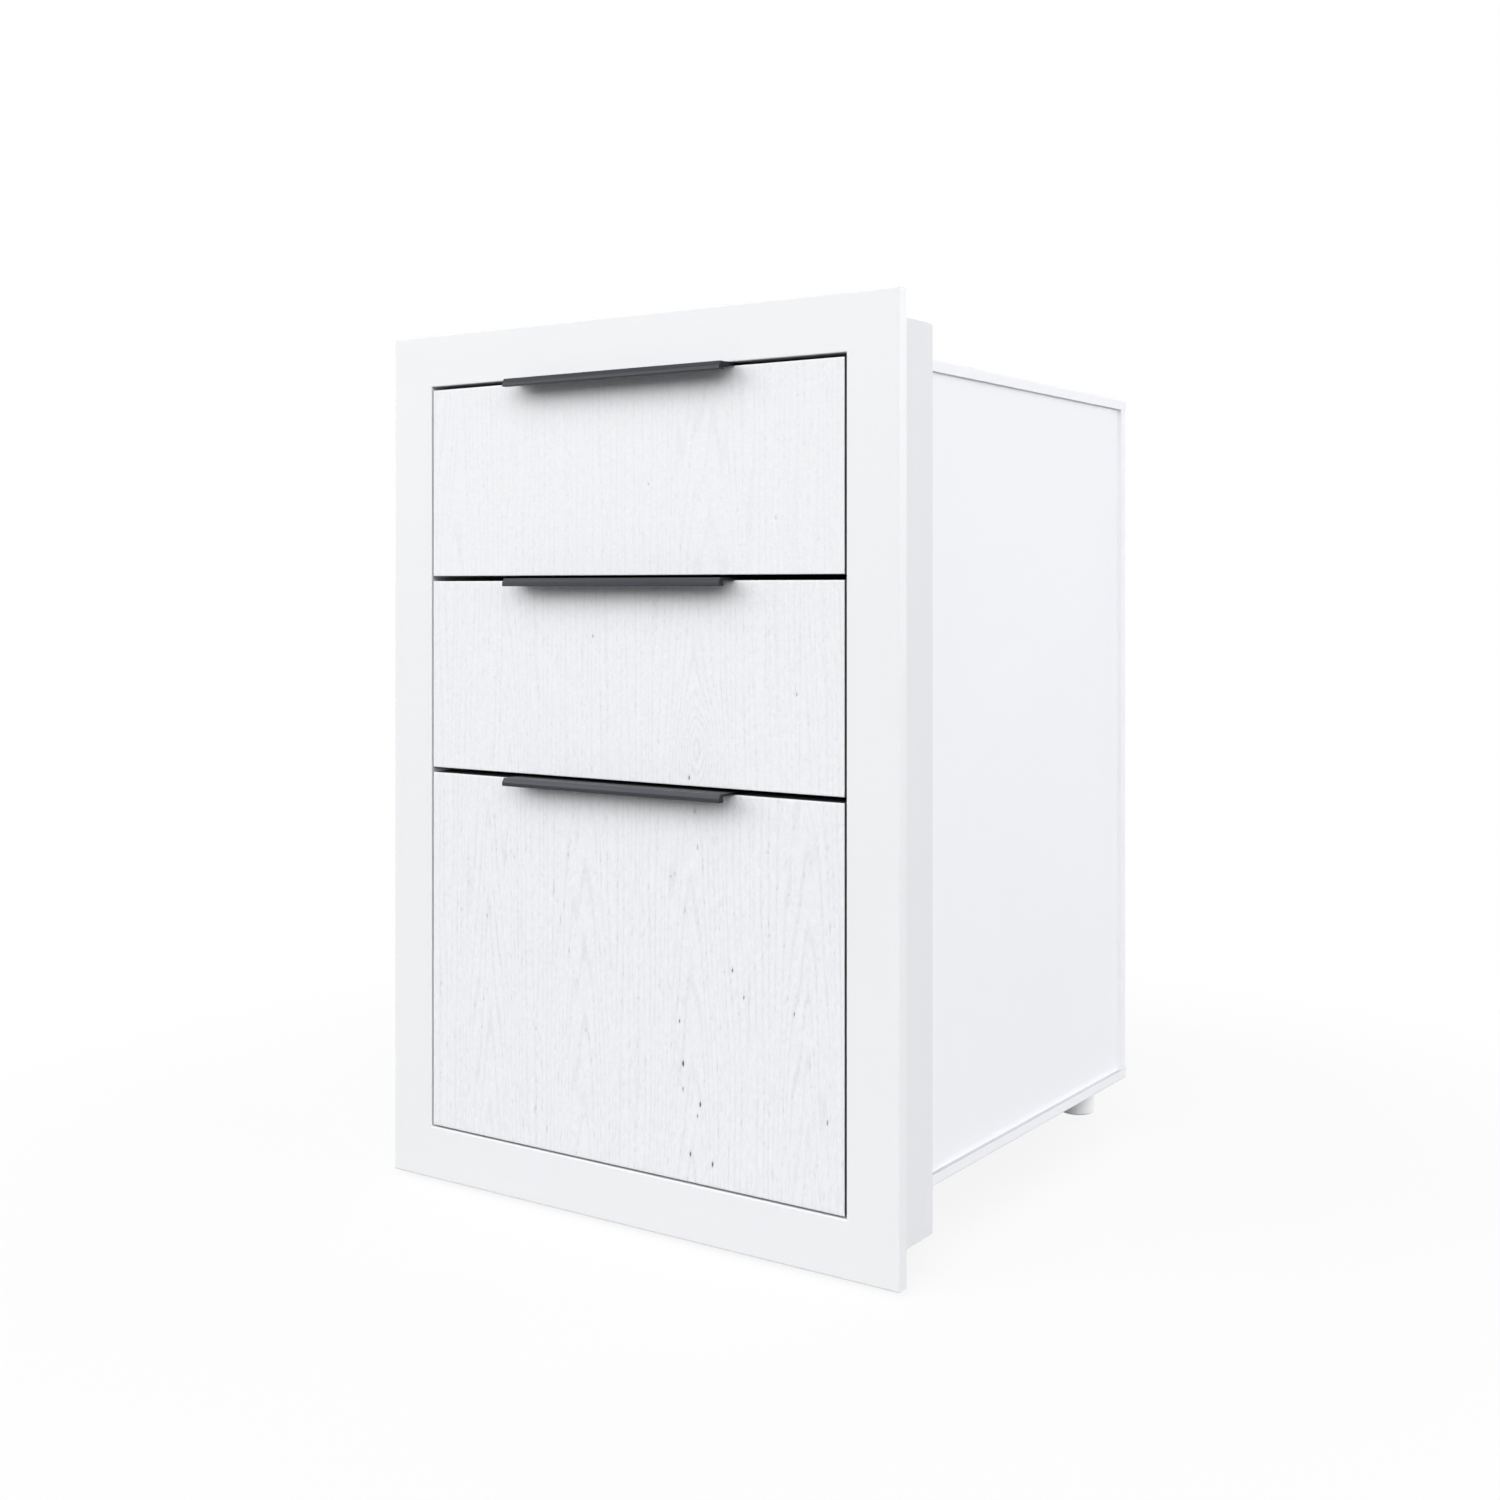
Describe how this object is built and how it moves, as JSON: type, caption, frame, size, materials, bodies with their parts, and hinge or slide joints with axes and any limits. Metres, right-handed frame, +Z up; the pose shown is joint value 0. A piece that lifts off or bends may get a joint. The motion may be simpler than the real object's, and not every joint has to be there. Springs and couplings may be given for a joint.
{
  "type": "drawer cabinet",
  "caption": "Built-in outdoor kitchen drawer cabinet: flanged face frame, mounting sleeve, sheet-metal box and wood-grain drawers with edge pulls on ball-bearing slides.",
  "frame": {"origin": "centre of the whole cabinet's footprint, handles included, at the level of the face frame's lower edge", "axes": "+Z up, the drawers open towards -Y, and +X is to the right of a person facing the drawers"},
  "size_m": [0.432, 0.452, 0.62],
  "materials": {
    "powder_coat": "satin",
    "grain_front": "satin",
    "handle_anodised": "satin",
    "tray_coat": "satin",
    "slide_zinc": "satin",
    "ball_steel": "polished",
    "fastener": "satin",
    "zinc_nut": "satin",
    "foot_plastic": "satin"
  },
  "bodies": {
    "cabinet": {"face_frame": "powder_coat", "mounting_sleeve": "powder_coat", "top_panel": "powder_coat", "bottom_panel": "powder_coat", "left_side_panel": "powder_coat", "right_side_panel": "powder_coat", "back_panel": "powder_coat", "foot_nuts": "zinc_nut", "cabinet_rail_screws": "fastener", "cabinet_rail_left_1": "slide_zinc", "cabinet_rail_left_2": "slide_zinc", "cabinet_rail_left_3": "slide_zinc", "cabinet_rail_right_1": "slide_zinc", "cabinet_rail_right_2": "slide_zinc", "cabinet_rail_right_3": "slide_zinc"},
    "drawer_1": {"drawer_front_1": "grain_front", "handle_1": "handle_anodised", "drawer_tray_1": "tray_coat", "drawer_inner_front_1": "tray_coat", "drawer_back_1": "tray_coat", "drawer_rail_left_1": "slide_zinc", "drawer_rail_right_1": "slide_zinc", "drawer_screws_1": "fastener"},
    "mid_rails_1": {"mid_rail_left_1": "slide_zinc", "mid_rail_right_1": "slide_zinc"},
    "outer_cages_1": {"outer_ball_cages_1": "ball_steel"},
    "inner_cages_1": {"inner_ball_cages_1": "ball_steel"},
    "drawer_2": {"drawer_front_2": "grain_front", "handle_2": "handle_anodised", "drawer_tray_2": "tray_coat", "drawer_inner_front_2": "tray_coat", "drawer_back_2": "tray_coat", "drawer_rail_left_2": "slide_zinc", "drawer_rail_right_2": "slide_zinc", "drawer_screws_2": "fastener"},
    "mid_rails_2": {"mid_rail_left_2": "slide_zinc", "mid_rail_right_2": "slide_zinc"},
    "outer_cages_2": {"outer_ball_cages_2": "ball_steel"},
    "inner_cages_2": {"inner_ball_cages_2": "ball_steel"},
    "drawer_3": {"drawer_front_3": "grain_front", "handle_3": "handle_anodised", "drawer_tray_3": "tray_coat", "drawer_inner_front_3": "tray_coat", "drawer_back_3": "tray_coat", "drawer_rail_left_3": "slide_zinc", "drawer_rail_right_3": "slide_zinc", "drawer_screws_3": "fastener"},
    "mid_rails_3": {"mid_rail_left_3": "slide_zinc", "mid_rail_right_3": "slide_zinc"},
    "outer_cages_3": {"outer_ball_cages_3": "ball_steel"},
    "inner_cages_3": {"inner_ball_cages_3": "ball_steel"},
    "front_left_foot": {"foot_front_left": "foot_plastic", "stud_front_left": "zinc_nut"},
    "front_right_foot": {"foot_front_right": "foot_plastic", "stud_front_right": "zinc_nut"},
    "rear_left_foot": {"foot_rear_left": "foot_plastic", "stud_rear_left": "zinc_nut"},
    "rear_right_foot": {"foot_rear_right": "foot_plastic", "stud_rear_right": "zinc_nut"}
  },
  "joints": [
    {"name": "drawer_1_slide", "type": "slide", "parent": "cabinet", "child": "drawer_1", "axis": [0, -1, 0], "range_m": [0, 0.4]},
    {"name": "mid_rails_1_slide", "type": "slide", "parent": "cabinet", "child": "mid_rails_1", "axis": [0, -1, 0], "range_m": [0, 0.2]},
    {"name": "outer_cages_1_slide", "type": "slide", "parent": "cabinet", "child": "outer_cages_1", "axis": [0, -1, 0], "range_m": [0, 0.1]},
    {"name": "inner_cages_1_slide", "type": "slide", "parent": "cabinet", "child": "inner_cages_1", "axis": [0, -1, 0], "range_m": [0, 0.3]},
    {"name": "drawer_2_slide", "type": "slide", "parent": "cabinet", "child": "drawer_2", "axis": [0, -1, 0], "range_m": [0, 0.4]},
    {"name": "mid_rails_2_slide", "type": "slide", "parent": "cabinet", "child": "mid_rails_2", "axis": [0, -1, 0], "range_m": [0, 0.2]},
    {"name": "outer_cages_2_slide", "type": "slide", "parent": "cabinet", "child": "outer_cages_2", "axis": [0, -1, 0], "range_m": [0, 0.1]},
    {"name": "inner_cages_2_slide", "type": "slide", "parent": "cabinet", "child": "inner_cages_2", "axis": [0, -1, 0], "range_m": [0, 0.3]},
    {"name": "drawer_3_slide", "type": "slide", "parent": "cabinet", "child": "drawer_3", "axis": [0, -1, 0], "range_m": [0, 0.4]},
    {"name": "mid_rails_3_slide", "type": "slide", "parent": "cabinet", "child": "mid_rails_3", "axis": [0, -1, 0], "range_m": [0, 0.2]},
    {"name": "outer_cages_3_slide", "type": "slide", "parent": "cabinet", "child": "outer_cages_3", "axis": [0, -1, 0], "range_m": [0, 0.1]},
    {"name": "inner_cages_3_slide", "type": "slide", "parent": "cabinet", "child": "inner_cages_3", "axis": [0, -1, 0], "range_m": [0, 0.3]},
    {"name": "front_left_foot_level", "type": "slide", "parent": "cabinet", "child": "front_left_foot", "axis": [0, 0, -1], "range_m": [0, 0.01]},
    {"name": "front_right_foot_level", "type": "slide", "parent": "cabinet", "child": "front_right_foot", "axis": [0, 0, -1], "range_m": [0, 0.01]},
    {"name": "rear_left_foot_level", "type": "slide", "parent": "cabinet", "child": "rear_left_foot", "axis": [0, 0, -1], "range_m": [0, 0.01]},
    {"name": "rear_right_foot_level", "type": "slide", "parent": "cabinet", "child": "rear_right_foot", "axis": [0, 0, -1], "range_m": [0, 0.01]}
  ],
  "couplings": [
    {"joint": "mid_rails_1_slide", "follows": "drawer_1_slide", "ratio": 0.5},
    {"joint": "outer_cages_1_slide", "follows": "drawer_1_slide", "ratio": 0.25},
    {"joint": "inner_cages_1_slide", "follows": "drawer_1_slide", "ratio": 0.75},
    {"joint": "mid_rails_2_slide", "follows": "drawer_2_slide", "ratio": 0.5},
    {"joint": "outer_cages_2_slide", "follows": "drawer_2_slide", "ratio": 0.25},
    {"joint": "inner_cages_2_slide", "follows": "drawer_2_slide", "ratio": 0.75},
    {"joint": "mid_rails_3_slide", "follows": "drawer_3_slide", "ratio": 0.5},
    {"joint": "outer_cages_3_slide", "follows": "drawer_3_slide", "ratio": 0.25},
    {"joint": "inner_cages_3_slide", "follows": "drawer_3_slide", "ratio": 0.75}
  ]
}
